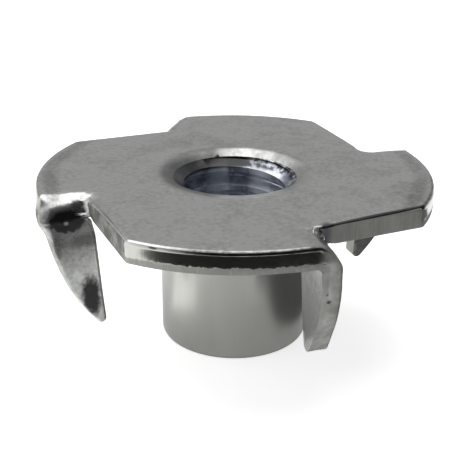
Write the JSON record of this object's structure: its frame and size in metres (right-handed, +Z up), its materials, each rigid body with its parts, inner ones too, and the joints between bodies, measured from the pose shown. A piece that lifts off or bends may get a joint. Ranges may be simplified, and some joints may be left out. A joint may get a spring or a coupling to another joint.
{
  "type": "pronged tee nut",
  "caption": "Zinc-plated steel tee nut: a round pressed flange with bent-down prongs that bite into wood and a drawn, threaded barrel.",
  "frame": {"origin": "centre of the barrel's open end face, on the thread's axis", "axes": "+Z up the thread from the barrel's open end to the flange, +X through a corner of the flange's rim"},
  "size_m": [0.019, 0.019, 0.0084],
  "materials": {
    "zinc_plated_steel": "bright zinc plating, satin on the flange and brighter on the barrel"
  },
  "bodies": {
    "root": {"tee_nut": "zinc_plated_steel"}
  },
  "joints": []
}
